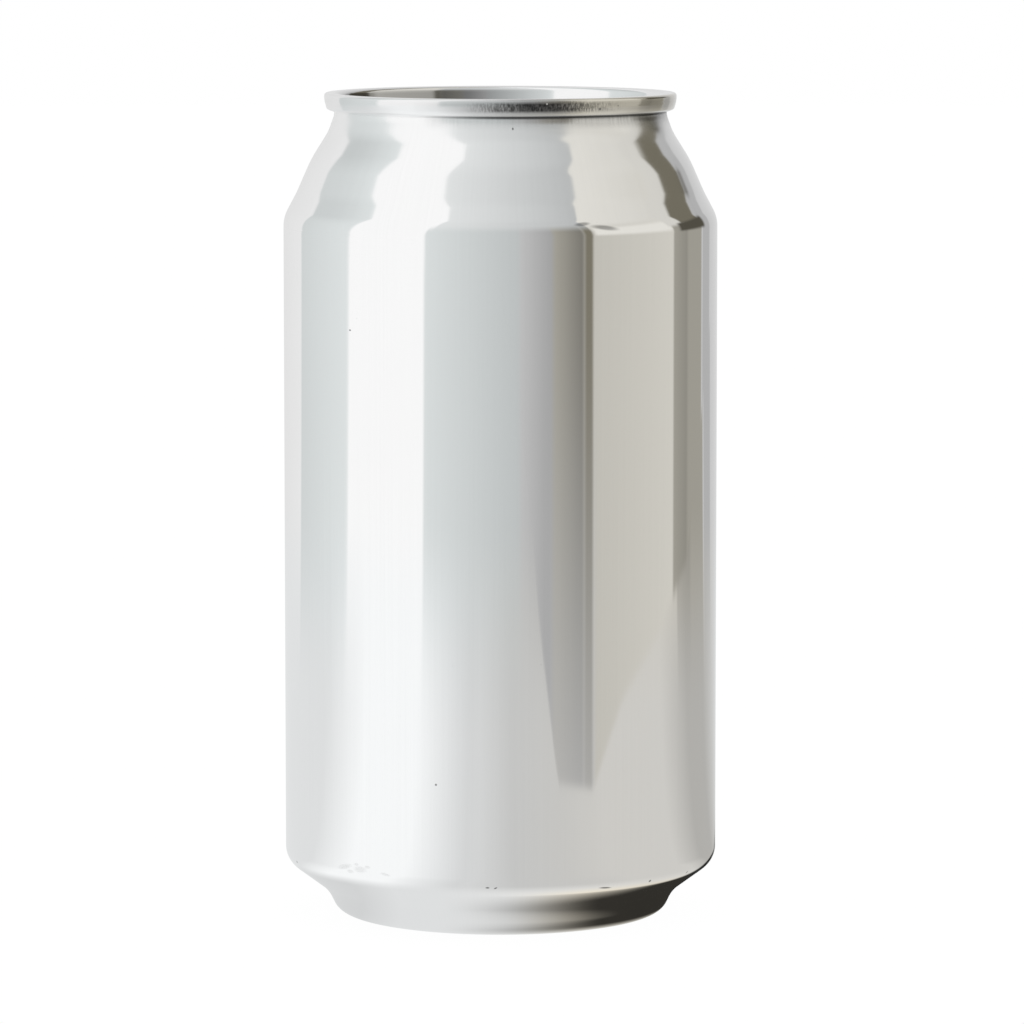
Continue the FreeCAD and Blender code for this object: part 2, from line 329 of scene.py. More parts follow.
def panel_grid(around):
    """Polar grid of the panel. Outside the field a row's radius runs evenly from the panel's edge
    to the outline; across the wall it steps by fractions of the wall's width while the height
    follows 3t^2 - 2t^3; inside it runs evenly to the middle."""
    angle = np.linspace(0, 2 * np.pi, around, endpoint=False)
    outline = ray_to_outline(angle, **field_outline)
    outer = outline + field_wall / 2
    inner = outline - field_wall / 2
    apron_rows, wall_rows, floor_rows = 12, 17, 60
    down = np.linspace(0, 1, wall_rows)[:, None]
    apron = panel_flat + (outer - panel_flat) * np.linspace(0, 1, apron_rows)[:, None]
    wall = outer + (inner - outer) * down
    floor = inner * np.linspace(1, 0, floor_rows)[:, None]
    radius = np.concatenate([apron[:-1], wall, floor[1:]])
    curve = (3 * down ** 2 - 2 * down ** 3)[:, 0]
    sink = np.concatenate([np.zeros(apron_rows - 1), curve, np.ones(floor_rows - 1)])[:, None]
    height = panel_level + (field_level - panel_level) * sink
    height = np.broadcast_to(height, radius.shape)
    return np.stack([radius * np.sin(angle), -radius * np.cos(angle), height], axis=-1)


panel = surface(panel_grid(400), last_pole=True)
rim_surface = surface(turned(rim_line, 400))

# %% [markdown]
# The mouth is marked by its score, the thin cut along which the end tears. The press leaves a
# fine lip of metal on both sides of the cut. A small section with two lips is carried round the
# score's oval: the section's own axis is the direction across the path.

# %% The score
def carried(path, across, section):
    """Grid of a section carried along a closed level path: each point is the path's point plus
    the section's first number times the direction across, with its second number as height."""
    flat = path[None] + across[None] * section[:, 0][:, None, None]
    height = np.broadcast_to(section[:, 1][:, None], flat.shape[:2])
    return np.concatenate([flat, height[..., None]], axis=-1)


score_half_width = 10.4 * mm
score_half_length = 8.2 * mm
score_margin = 1.5 * mm
score_angle = np.linspace(0, 2 * np.pi, 360, endpoint=False)
score_centre = field_mouth_y - field_mouth_radius + score_margin + score_half_length
score_path = np.stack([score_half_width * np.sin(score_angle),
                       score_centre - score_half_length * np.cos(score_angle)], axis=1)
score_across = np.stack([score_half_length * np.sin(score_angle),
                         -score_half_width * np.cos(score_angle)], axis=1)
score_across = score_across / np.linalg.norm(score_across, axis=1)[:, None]

# t * (1 - t * t) reaches 0.385 at its highest, and dividing by that makes the lip's height exact
lip_reach = 0.42 * mm
lip_rise = 0.07 * mm
lip_rooted = 0.004 * mm
lip = np.linspace(-1, 1, 21)
lip_height = field_level + lip_rise * (np.abs(lip) * (1 - lip ** 2)) / 0.385 - lip_rooted
score_section = np.stack([-lip * lip_reach, lip_height], axis=1)
score = surface(carried(score_path, score_across, score_section))

# %% [markdown]
# The rivet holds the tab. It is not a separate pin: the press draws it up out of the panel and
# flattens its head over the tab's web. A turned button does it, dished a little on top.

# %% The rivet
head_under = field_level + 0.5 * mm
head_top = head_under + 0.5 * mm
button = [
    (1.6 * mm, field_level - 0.05 * mm, 0),
    (1.6 * mm, head_under, 0.05 * mm),
    (2.5 * mm, head_under, 0.22 * mm),
    (2.5 * mm, head_top, 0.25 * mm),
    (1.5 * mm, head_top, 0.6 * mm),
    (1.0 * mm, head_top - 0.14 * mm, 0.6 * mm),
    (0, head_top - 0.14 * mm, 0),
]
rivet = surface(turned(spaced(rounded_line(button, 12), 0.4 * mm), 96), last_pole=True)
end = make_piece("can_end_shell", [rim_surface, panel, score, rivet], "can_end")

# %% [markdown]
# The tab is stamped from strip and its whole edge is curled under, which gives it a thick round
# rim and no sharp edge. Inside the rim lies a thin web with the finger hole, and a curved slot
# round the rivet that leaves an island for the tab to hinge on.

# %% The tab's outline
def outline_points(count, inset, front_radius, front_y, back_radius, back_y):
    """Points and outward directions along a rounded outline, spread evenly along its length: two
    arcs and two straight runs, with the direction constant on a run and turning on an arc."""
    lean = math.asin((front_radius - back_radius) / (back_y - front_y))
    run = math.sqrt((back_y - front_y) ** 2 - (front_radius - back_radius) ** 2)
    front = front_radius - inset
    back = back_radius - inset
    half_front = math.pi / 2 + lean
    half_back = math.pi / 2 - lean
    lengths = np.cumsum([0, front * half_front, run, 2 * back * half_back, run, front * half_front])
    travelled = np.linspace(0, lengths[-1], count, endpoint=False)
    far_turn = 2 * math.pi - half_front
    turn = np.interp(travelled, lengths, [0, half_front, half_front, far_turn, far_turn, 2 * math.pi])
    along = np.interp(travelled, lengths, [0, 0, 1, 1, 0, 0])
    centre_y = front_y + (back_y - front_y) * along
    radius = front + (back - front) * along
    outward = np.stack([np.sin(turn), -np.cos(turn)], axis=1)
    return np.stack([np.zeros(count), centre_y], axis=1) + outward * radius[:, None], outward


tab_outline = dict(front_radius=7.7 * mm, front_y=-1.1 * mm, back_radius=6.6 * mm, back_y=9.3 * mm)
tab_path, tab_outward = outline_points(420, 0, **tab_outline)
print("the tab reaches y", round(tab_path[:, 1].min() / mm, 2), "to", round(tab_path[:, 1].max() / mm, 2))

# %% [markdown]
# The curled rim is a closed section carried round the outline: a flattened loop with generous
# roundings. A second, thinner curl is carried round the finger hole.

# %% The tab's curls
def loop_section(width, bottom, top, rounding, points=40):
    """Closed section between 0 and -width across the path: a rounded box, taken as a circle
    pushed outwards until it fills the box (each coordinate is clipped, then given its rounding)."""
    angle = np.linspace(0, 2 * np.pi, points, endpoint=False)
    half_width = width / 2 - rounding
    half_height = (top - bottom) / 2 - rounding
    side = np.clip(np.cos(angle) * 1.6, -1, 1) * half_width + rounding * np.cos(angle)
    rise = np.clip(np.sin(angle) * 1.6, -1, 1) * half_height + rounding * np.sin(angle)
    return np.stack([side - width / 2, rise + (top + bottom) / 2], axis=1)


def closed_tube(grid):
    """Points and faces of a grid that closes on itself both ways: the first row is repeated as
    the last in the faces only, so no seam is left."""
    rows, columns = grid.shape[:2]
    faces = ring_faces(rows + 1, columns) % (rows * columns)
    return grid.reshape(-1, 3), faces.tolist()


rim_section = loop_section(1.7 * mm, tab_low.z, tab_high.z, 0.55 * mm)[::-1]
tab_rim = closed_tube(carried(tab_path, tab_outward, rim_section))
hole = dict(front_radius=3.7 * mm, front_y=8.6 * mm, back_radius=3.69 * mm, back_y=9.9 * mm)
hole_path, hole_outward = outline_points(240, 0, **hole)
hole_section = loop_section(0.9 * mm, field_level + 0.12 * mm, field_level + 0.72 * mm, 0.28 * mm)
hole_section = hole_section * [-1, 1]
tab_hole = closed_tube(carried(hole_path, hole_outward, hole_section))

# %% [markdown]
# The web is a grid between the finger hole and the rim. Its height dips in the curved slot round
# the rivet, and how deep it is there follows from the distance to an arc.

# %% The tab's web
web_inset = 1.1 * mm
web_rise = 0.45 * mm
slot_radius = 4.3 * mm
slot_sweep = math.radians(110)
slot_half_width = 0.5 * mm
slot_side = 0.2 * mm
slot_depth = 0.4 * mm


def web_grid(around, rows):
    """Grid from the finger hole to the rim on rays from the hole's middle. The height is the
    web's own level, less the slot's depth where the distance from its arc is small."""
    angle = np.linspace(0, 2 * np.pi, around, endpoint=False)
    middle = (hole["front_y"] + hole["back_y"]) / 2
    hole_radius = ray_to_outline(angle, 3.75 * mm, hole["front_y"] - middle,
                                 3.74 * mm, hole["back_y"] - middle)
    nose_radius = tab_outline["front_radius"] - web_inset
    heel_radius = tab_outline["back_radius"] - web_inset
    rim_radius = ray_to_outline(angle, nose_radius, tab_outline["front_y"] - middle,
                                heel_radius, tab_outline["back_y"] - middle)
    share = np.linspace(0, 1, rows)[:, None]
    radius = hole_radius + (rim_radius - hole_radius) * share
    x = radius * np.sin(angle)
    y = middle - radius * np.cos(angle)
    bearing = np.abs(np.arctan2(x, -y))
    beyond = np.maximum(bearing - slot_sweep, 0) * slot_radius
    from_slot = np.hypot(np.hypot(x, y) - slot_radius, beyond)
    depth = np.clip((slot_half_width - from_slot) / slot_side, 0, 1)
    depth = depth * depth * (3 - 2 * depth)
    height = field_level + web_rise - slot_depth * depth
    return np.stack([x, y, height], axis=-1)


web = surface(web_grid(420, 110)[::-1])
tab = make_piece("tab_shell", [tab_rim, tab_hole, web], "pull_tab")

# %% [markdown]
# Bare metal is mostly what it mirrors, so its material has little colour and a lot of surface.
# The node helpers below keep the graphs readable: one adds a node with its inputs, and the
# others name the few sums that come back again and again.

# %% Node helpers
def node(tree, kind, inputs=None, **settings):
    """Adds a shader node. An input is a plain value, or another node's output to link."""
    made = tree.nodes.new("ShaderNode" + kind)
    for key, value in settings.items():
        setattr(made, key, value)
    for key, value in (inputs or {}).items():
        if isinstance(value, bpy.types.NodeSocket):
            tree.links.new(value, made.inputs[key])
        else:
            made.inputs[key].default_value = value
    return made


def sums(tree, operation, first, second=0.0, third=0.0):
    """Output of one Math node."""
    return node(tree, "Math", {0: first, 1: second, 2: third}, operation=operation).outputs[0]


def product(tree, first, *others):
    """All the values multiplied together."""
    for other in others:
        first = sums(tree, "MULTIPLY", first, other)
    return first


def lessened(tree, share, loss=1.0):
    """Factor that goes from 1 to 1 - loss as share goes from 0 to 1."""
    return sums(tree, "MULTIPLY_ADD", share, -loss, 1.0)


def fade(tree, value, start, stop):
    """0 before start, 1 after stop, and a soft S between them. Start may lie above stop."""
    flip = start > stop
    low, high = sorted((start, stop))
    ends = {"Value": value, "From Min": low, "From Max": high,
            "To Min": float(flip), "To Max": float(not flip)}
    return node(tree, "MapRange", ends, interpolation_type="SMOOTHSTEP").outputs[0]


def mixed(tree, share, first, second):
    """Colour that goes from first to second as share goes from 0 to 1."""
    made = node(tree, "Mix", data_type="RGBA")
    for key, value in ((0, share), (6, first), (7, second)):
        if isinstance(value, bpy.types.NodeSocket):
            tree.links.new(value, made.inputs[key])
        else:
            made.inputs[key].default_value = value
    return made.outputs[2]


def noise(tree, vector, scale, detail=2.0, roughness=0.5):
    """Smooth random height between 0 and 1."""
    inputs = {"Vector": vector, "Scale": scale, "Detail": detail, "Roughness": roughness}
    return node(tree, "TexNoise", inputs).outputs[0]


def stretched(tree, vector, x, y, z):
    """The same coordinates scaled along each axis, to draw a pattern out into lines."""
    return node(tree, "Mapping", {"Vector": vector, "Scale": (x, y, z)}).outputs[0]


def grey(level):
    """Colour of that lightness."""
    return (level, level, level, 1.0)


# %% [markdown]
# A finish on a can follows the can, not the room: ironing draws lines up the wall, and spinning
# leaves rings. So the pattern needs to know how far round and how high a point is. The angle
# comes from the object's own coordinates with an arctangent, and the wall's radius turns it into
# millimetres, as if the wall were unrolled flat.

# %% Unrolled coordinates
def unrolled(tree):
    """(round, up, out) of a point in millimetres: the angle from the front times the wall's
    radius, the height, and the distance from the axis."""
    place = node(tree, "TexCoord").outputs["Object"]
    parts = node(tree, "SeparateXYZ", {0: place}).outputs
    angle = sums(tree, "ARCTAN2", parts[0], product(tree, parts[1], -1.0))
    around = product(tree, angle, wall_radius / mm)
    up = product(tree, parts[2], 1 / mm)
    squares = sums(tree, "MULTIPLY_ADD", parts[0], parts[0], product(tree, parts[1], parts[1]))
    out = product(tree, sums(tree, "SQRT", squares), 1 / mm)
    sheet = node(tree, "CombineXYZ", {0: around, 1: up, 2: 0.0}).outputs[0]
    return place, sheet, around, up, out


def mark(tree, sheet, degrees, height, width, tall, slope=0.0, softness=0.5):
    """1 inside a small oval mark on the unrolled wall and 0 outside. It has an angle and a height,
    a width and a height of its own, and a slope in degrees."""
    across = math.radians(degrees) * wall_radius / mm
    scaled = node(tree, "Mapping", {"Vector": sheet, "Location": (across, height, 0.0),
                                    "Rotation": (0.0, 0.0, math.radians(slope)),
                                    "Scale": (width / 2, tall / 2, 1.0)}, vector_type="TEXTURE").outputs[0]
    length = node(tree, "VectorMath", {0: scaled}, operation="LENGTH").outputs["Value"]
    return fade(tree, length, 1 + softness, 1 - softness)


def all_marks(tree, sheet, marks):
    """The strongest of several marks, each given as (degrees, height, width, tall), and a slope
    if it leans."""
    strongest = None
    for spot in marks:
        found = mark(tree, sheet, *spot)
        strongest = found if strongest is None else sums(tree, "MAXIMUM", strongest, found)
    return strongest


# %% [markdown]
# The body's metal is bright and close to a mirror. What breaks the mirror is slight: long faint
# ironing lines up the wall, rings, a fine grain, and tiny pleats just under the seam where the
# neck was squeezed in. Each one is a height for the Bump node. No tool irons the inside of the
# foot, so the lines fade out there.

# %% Body metal: relief
def set_relief(tree, shader, height, distance):
    """Gives the shader a relief, by a Bump node of that distance."""
    bump = node(tree, "Bump", {"Strength": 1.0, "Distance": distance, "Height": height})
    tree.links.new(bump.outputs[0], shader.inputs["Normal"])


def set_colour(tree, shader, red, green, blue):
    """Gives the shader a colour from three lightness values."""
    colour = node(tree, "CombineColor", {0: red, 1: green, 2: blue}).outputs[0]
    tree.links.new(colour, shader.inputs["Base Color"])


def new_metal(name):
    """A material with a metal shader and its tree."""
    material = bpy.data.materials.new(name)
    material.use_nodes = True
    tree = material.node_tree
    shader = tree.nodes["Principled BSDF"]
    shader.inputs["Metallic"].default_value = 1.0
    return material, tree, shader


body_metal, tree, shader = new_metal("drawn_aluminium")
place, sheet, around, up, out = unrolled(tree)

ironing = noise(tree, stretched(tree, sheet, 3.0, 0.012, 1.0), 1.0, 3.0, 0.6)
grain = noise(tree, stretched(tree, sheet, 7.0, 7.0, 1.0), 1.0, 2.0)
rings = noise(tree, stretched(tree, sheet, 0.02, 3.2, 1.0), 1.0, 2.0)
on_neck = fade(tree, up, 107.5, 112.0)
below_seam = fade(tree, up, 117.5, 122.5)
pleats = noise(tree, stretched(tree, sheet, 2.7, 0.10, 1.0), 1.0, 1.0)
on_outside = sums(tree, "MAXIMUM", fade(tree, up, 12.0, 13.0), fade(tree, out, 23.6, 24.6))
relief = sums(tree, "MULTIPLY_ADD", rings, 0.18, product(tree, ironing, 0.5))
relief = product(tree, relief, sums(tree, "MULTIPLY_ADD", on_outside, 0.9, 0.1))
relief = sums(tree, "MULTIPLY_ADD", sums(tree, "MULTIPLY_ADD", on_neck, 0.30, 0.05), grain, relief)
relief = sums(tree, "MULTIPLY_ADD", product(tree, pleats, below_seam), 7.0, relief)
set_relief(tree, shader, relief, 0.0007 * mm)

# %% [markdown]
# A can picks up small marks on its way: dark specks and dashes, two dark curls at the shoulder,
# and pale scuffs low on the left. They are ovals on the unrolled wall, so each has its own place.
# A sparse Voronoi pattern adds faint specks all round, so that no side is bare.

# %% Body metal: marks
dark_marks = all_marks(tree, sheet, [
    (-42.5, 91.4, 0.35, 0.25), (-16.8, 24.1, 0.30, 0.30), (-3.3, 8.75, 0.55, 0.22), (-1.2, 8.7, 0.5, 0.2, 25),
    (43.8, 8.2, 0.45, 0.35), (60.2, 8.3, 0.5, 0.25, 30), (-70.5, 9.0, 0.45, 0.3), (29.0, 8.0, 1.9, 0.24, -4),
    (4.2, 121.4, 0.3, 0.35),
])
dark_curls = all_marks(tree, sheet, [(21.8, 107.55, 2.2, 0.5, 4), (28.2, 106.95, 3.9, 0.62, -7)])
scuffs = all_marks(tree, sheet, [
    (-45.0, 10.4, 2.6, 0.7, 12), (-39.5, 10.3, 2.2, 0.9), (-31.4, 10.0, 1.6, 0.4, -8),
    (-37.0, 10.8, 1.0, 0.4), (-43.0, 9.8, 1.2, 0.5), (-40.8, 11.0, 0.8, 0.4),
])
specks = node(tree, "TexVoronoi", {"Vector": sheet, "Scale": 0.22, "Randomness": 1.0})
specks = fade(tree, specks.outputs["Distance"], 0.022, 0.010)
dark_marks = product(tree, dark_marks, on_outside)
scuffs = product(tree, scuffs, on_outside)

# %% [markdown]
# Just under the seam a painted shade darkens the metal from the front round to the right, and
# the pleats break that shade up. A thin painted line of shade lies right against the seam, in the
# crease under it. Every mark takes its own share of the colour's lightness, and scuffs, specks and
# the necked metal are rougher than the wall.

# %% Body metal: colour and roughness
seam_low = seam_bottom / mm
# painted shade: a thin dark line right under the seam, where the seam overhangs the neck
painted_seam_line_shade = product(tree, fade(tree, up, seam_low - 0.6, seam_low - 0.2), fade(tree, around, -14.0, 4.0))
# painted shade under the seam, darker from the front round to the right and broken up by the pleats
painted_under_seam_shade = product(tree, fade(tree, up, seam_low - 2.4, seam_low - 0.2), fade(tree, around, -16.5, -12.5),
                 sums(tree, "MULTIPLY_ADD", fade(tree, around, -6.0, 22.0), 0.65, 0.35),
                 sums(tree, "MULTIPLY_ADD", pleats, 0.9, 0.55))
shade = sums(tree, "MULTIPLY_ADD", noise(tree, place, 60.0, 3.0), 0.02, 0.905)
shade = sums(tree, "MULTIPLY_ADD", sums(tree, "SUBTRACT", ironing, 0.5), 0.035, shade)
losses = ((dark_marks, 0.75), (dark_curls, 0.52), (scuffs, 0.12), (specks, 0.12), (painted_seam_line_shade, 0.8),
          (painted_under_seam_shade, 0.42))
for spots, loss in losses:
    shade = product(tree, shade, lessened(tree, spots, loss))
set_colour(tree, shader, shade, shade, shade)
polish = sums(tree, "MULTIPLY_ADD", noise(tree, sheet, 0.12, 2.0), 0.02, 0.035)
on_inside = lessened(tree, on_outside)
for spots, gain in ((scuffs, 0.2), (specks, 0.2), (on_neck, 0.04), (below_seam, 0.14), (on_inside, 0.2)):
    polish = sums(tree, "MULTIPLY_ADD", spots, gain, polish)
tree.links.new(polish, shader.inputs["Roughness"])
body.data.materials.append(body_metal)

# %% [markdown]
# The end is rolled sheet, a little duller than the ironed wall. The seaming roll presses hard on
# the seam's outside and leaves a row of fine upright wrinkles and ticks there, most of them at
# the front.

# %% End metal: relief
end_metal, tree, shader = new_metal("rolled_end_sheet")
place, sheet, around, up, out = unrolled(tree)
seam_outside = fade(tree, out, 26.2, 26.55)
pressed = product(tree, fade(tree, around, -8.0, 3.0), fade(tree, around, 27.0, 12.0))
ticks = noise(tree, stretched(tree, sheet, 3.4, 1.3, 1.0), 1.0, 3.0, 0.65)
blots = noise(tree, stretched(tree, sheet, 0.9, 1.6, 1.0), 1.0, 2.0)
rolling = noise(tree, stretched(tree, place, 900.0, 22.0, 900.0), 1.0, 3.0, 0.6)
tick_depth = sums(tree, "MULTIPLY_ADD", pressed, 9.0, 1.4)
relief = sums(tree, "MULTIPLY_ADD", rolling, 0.5, product(tree, ticks, seam_outside, tick_depth))
set_relief(tree, shader, relief, 0.002 * mm)

# %% [markdown]
# The seam's tone is painted round the can: the middle of its height is painted dark at the front,
# a painted reflection of dark surroundings, and its two edges are painted lighter as highlight
# lines. A colour ramp over the angle gives that painted reflection its levels, and the ticks, a few
# blots, a painted glint and three dots are laid over it.

# %% End metal: the seam
def round_levels(tree, around, levels):
    """A factor that changes round the can: a colour ramp over (degrees from the front, factor)."""
    turn = sums(tree, "MULTIPLY_ADD", around, mm / (2 * math.pi * wall_radius), 0.5)
    made = node(tree, "ValToRGB", {0: turn})
    stops = made.color_ramp.elements
    for _ in range(len(levels) - len(stops)):
        stops.new(1.0)
    for stop, (degrees, level) in zip(stops, levels):
        stop.position = (degrees + 180) / 360
        stop.color = grey(level)
    return made.outputs[0]


# painted reflection: the seam's darkening round the can, by a ramp over the angle
painted_seam_reflection = round_levels(tree, around, [
    (-180, 1.0), (-30, 0.95), (-3, 0.6), (9, 0.2), (18, 0.2), (30, 0.8), (60, 0.6), (90, 0.9), (180, 1.0)])
middle = product(tree, fade(tree, up, seam_low + 0.35, seam_low + 0.95),
                 fade(tree, up, seam_low + 2.35, seam_low + 1.75))
tick_loss = product(tree, fade(tree, ticks, 0.62, 0.40), pressed, 0.75)
blot_loss = product(tree, fade(tree, blots, 0.6, 0.35), pressed, 0.35)
# painted highlight: one bright glint on the seam
painted_glint = all_marks(tree, sheet, [(15.0, 125.1, 0.32, 0.3)])
dots = all_marks(tree, sheet, [
    (28.8, 124.25, 0.28, 0.42), (33.8, 124.2, 0.3, 0.35), (41.0, 124.6, 0.25, 0.2)])
seam_band_tone = product(tree, painted_seam_reflection, lessened(tree, tick_loss), lessened(tree, blot_loss))
seam_band_tone = product(tree, sums(tree, "MAXIMUM", seam_band_tone, painted_glint), lessened(tree, dots, 0.7))
# painted highlight: the seam's two edges kept lighter than its middle
painted_edge_highlights = sums(tree, "MULTIPLY_ADD", painted_seam_reflection, 0.45, 0.55)
seam_band_tone = sums(tree, "ADD", product(tree, seam_band_tone, middle),
                    product(tree, painted_edge_highlights, lessened(tree, middle)))
rolled = sums(tree, "ADD", product(tree, seam_outside, seam_band_tone), lessened(tree, seam_outside))

# %% [markdown]
# The seam's under edge is painted dark, a painted shade where it overhangs the neck. Inside the
# rim the chuck wall has painted levels round the can as well, a painted shade that stands in for
# the reflections on that wall. A touch of brown warms the seam.

# %% End metal: colour and roughness
# painted shade: the seam's under edge darkened where it overhangs the neck
underside = product(tree, fade(tree, out, 26.35, 26.05), fade(tree, up, seam_low + 0.4, seam_low + 0.25),
                    fade(tree, around, -20.0, 0.0), fade(tree, out, 25.0, 25.2))
# painted shade: levels round the can on the chuck wall inside the rim, standing in for its reflections
chuck = round_levels(tree, around, [
    (-180, 0.65), (-168, 0.4), (-112, 0.55), (-60, 0.9), (160, 1.0), (180, 0.65)])
on_chuck = product(tree, fade(tree, out, 25.0, 24.7), fade(tree, out, 22.0, 22.4),
                   fade(tree, up, can_top / mm - 0.3, can_top / mm - 0.7))
painted_chuck_shade = lessened(tree, product(tree, on_chuck, lessened(tree, chuck)))
shade = product(tree, sums(tree, "MULTIPLY_ADD", rolling, 0.03, 0.87), rolled, painted_chuck_shade,
                lessened(tree, underside, 0.9))
brown = product(tree, seam_outside, fade(tree, around, 4.0, 16.0), fade(tree, around, 60.0, 40.0))
red = product(tree, shade, sums(tree, "MULTIPLY_ADD", brown, 0.03, 1.0))
blue = product(tree, shade, lessened(tree, brown, 0.08))
set_colour(tree, shader, red, shade, blue)
polish = sums(tree, "MULTIPLY_ADD", noise(tree, place, 300.0, 2.0), 0.05, 0.07)
polish = sums(tree, "MULTIPLY_ADD", pressed, 0.12, polish)
tree.links.new(polish, shader.inputs["Roughness"])
end.data.materials.append(end_metal)

# %% [markdown]
# The tab is stamped from strip whose rolling lines run one way. It never met the ironing dies, so
# it is the dullest metal on the can.

# %% Tab metal
tab_metal, tree, shader = new_metal("stamped_tab_strip")
place = node(tree, "TexCoord").outputs["Object"]
rolling = noise(tree, stretched(tree, place, 800.0, 30.0, 800.0), 1.0, 3.0, 0.6)
set_relief(tree, shader, rolling, 0.003 * mm)
shade = sums(tree, "MULTIPLY_ADD", rolling, 0.04, 0.83)
set_colour(tree, shader, shade, shade, shade)
polish = sums(tree, "MULTIPLY_ADD", noise(tree, place, 300.0, 2.0), 0.06, 0.15)
tree.links.new(polish, shader.inputs["Roughness"])
tab.data.materials.append(tab_metal)

# %% [markdown]
# A mirror needs a room. Product photographers stand white and grey cards round a can, because
# every card becomes an upright band on the wall. Here the cards are painted on the world itself,
# in one ring for each height. Each card has two edges and a lightness at either end. Angle 0 is
# the camera's side and angles grow towards +X. Cards as real planes would light the can as well,
# but a painted ring can be soft and hard edged in one place and costs no render time.

# %% Rings of cards
given_back = 0.915
card_edge = 0.4


def light(red, green, blue):
    """Linear light of a tone from 0 to 255, undone from the screen's curve, for a metal that
    gives back about nine tenths of it."""
    tone = np.array([red, green, blue], float) / 255
    linear = np.where(tone <= 0.04045, tone / 12.92, ((tone + 0.055) / 1.055) ** 2.4)
    return (*(linear / given_back), 1.0)


def card_tone(lightness, warmth=0.0):
    """A card's tone from a lightness in per cent. Warmth 1 puts red up 2 and blue down 6 per cent,
    and warmth -1 puts red down 2 per cent."""
    level = 255 * lightness / 100
    return light(level * (1 + 0.02 * warmth), level, level * (1 - 0.06 * max(warmth, 0)))


def ring(tree, turn, cards):
    """Colour round the compass, by a colour ramp. A card is (left edge, right edge, lightness at its
    left, lightness at its right, warmth), and a gap between two cards is a soft change."""
    made = node(tree, "ValToRGB", {0: turn})
    stops = made.color_ramp.elements
    for _ in range(2 * len(cards) - len(stops)):
        stops.new(1.0)
    ends = [(side, level, warmth) for left, right, first, last, warmth in cards
            for side, level in ((left + card_edge, first), (right - card_edge, last))]
    for stop, (degrees, level, warmth) in zip(stops, ends):
        stop.position = (degrees + 180) / 360
        stop.color = card_tone(level, warmth)
    return made.outputs[0]


wall_cards = [
    (-180, -130, 85, 90, 0), (-130, -87, 82, 88, -1), (-87, -40, 97, 97, 0), (-40, 10, 86, 75, -1),
    (10, 28, 74, 63, 0), (28, 44, 62, 47, 1), (44, 46, 57, 57, 1), (46, 50, 45, 45, 2),
    (50, 105, 74, 79, 0.7), (105, 118, 60, 54, 1), (118, 134, 60, 60, 1), (134, 136, 80, 76, 0),
    (136, 147, 68, 68, 0), (147, 180, 77, 85, 0),
]
upper_cards = [
    (-180, -131, 84, 92, 0), (-131, -87, 73, 88, -1), (-87, -37, 97, 97, 0), (-37, 50, 88, 72, -0.5),
    (50, 117, 86, 81, 0.5), (117, 135, 44, 42, 2), (135, 180, 75, 84, 0),
]
print("the wall mirrors", len(wall_cards), "cards, and the neck", len(upper_cards))

# %% [markdown]
# Two rings are stacked by height: the cards that the wall mirrors, and the cards above, which the
# sloping neck mirrors. One S curve between two heights melts the lower ring into the upper. High
# up, the centre card leans over to the right, so angles there are slid sideways first.

# %% The room
def compass(tree, vector):
    """(angle, turn, height) of a direction or place: degrees round from the front, the same as a
    share of a whole turn that is a half at the front, and the vector's own third number."""
    parts = node(tree, "SeparateXYZ", {0: vector}).outputs
    angle = sums(tree, "ARCTAN2", parts[0], product(tree, parts[1], -1.0))
    angle = product(tree, angle, 180 / math.pi)
    return angle, sums(tree, "MULTIPLY_ADD", angle, 1 / 360, 0.5), parts[2]


world = bpy.data.worlds.new("card_room")
bpy.context.scene.world = world
world.use_nodes = True
tree = world.node_tree
tree.nodes.clear()
bearing, turn, rise = compass(tree, node(tree, "TexCoord").outputs["Generated"])
height = product(tree, sums(tree, "ARCSINE", rise), 180 / math.pi)
lean = product(tree, fade(tree, height, 44.0, 59.0), fade(tree, bearing, -70.0, 60.0),
               fade(tree, bearing, 125.0, 85.0))
leaning_turn = sums(tree, "MULTIPLY_ADD", lean, -19 / 360, turn)

room = ring(tree, turn, wall_cards)
room = mixed(tree, fade(tree, height, 14.0, 40.0), room, ring(tree, leaning_turn, upper_cards))


def card(room, colour, left, right, low, high, soft_side=1.5, soft_end=2.0):
    """A card in front of the room: a box in compass angle and height with soft edges."""
    sides = product(tree, fade(tree, bearing, left - soft_side, left + soft_side),
                    fade(tree, bearing, right + soft_side, right - soft_side))
    ends = product(tree, fade(tree, height, low - soft_end, low + soft_end),
                   fade(tree, height, high + soft_end, high - soft_end))
    return mixed(tree, product(tree, sides, ends), room, card_tone(*colour))


room = card(room, (87, 0.5), 51.5, 104, 4, 24, 1.5, 5.0)
room = card(room, (81, 0.5), 102, 119, 12, 44, 1.5, 4.0)
room = card(room, (42, 2), 115, 135, 12, 34, 1.5, 4.0)
room = card(room, (30, 2), 111, 139, 1, 15, 2.0, 2.5)

paling = product(tree, fade(tree, bearing, 22.0, 30.0), fade(tree, bearing, 53.0, 50.0),
                 fade(tree, height, -3.5, -10.5), 0.75)
room = mixed(tree, paling, room, card_tone(74))
seen = node(tree, "LightPath").outputs["Is Camera Ray"]
room = mixed(tree, seen, room, grey(1.0))
background = node(tree, "Background", {"Color": room, "Strength": 1.0})
node(tree, "OutputWorld", {"Surface": background.outputs[0]})
print("the room has", len(tree.nodes), "nodes")

# %% [markdown]
# The floor is a plain pale sheet that the camera sees. It gives an even light of its own, with no
# more than a faint shade where the can stands. From below it is clear, so that the underside can
# be seen.

# %% Floor
def stage_sheet(name, grid):
    """A stage mesh from a polar grid whose last row is its middle point."""
    points, faces = surface(grid, last_pole=True)
    mesh = bpy.data.meshes.new(name)
    mesh.from_pydata(points.tolist(), [], faces)
    sheet = bpy.data.objects.new(name, mesh)
    bpy.context.scene.collection.objects.link(sheet)
    sheet.visible_diffuse = False
    sheet.visible_shadow = False
    return sheet


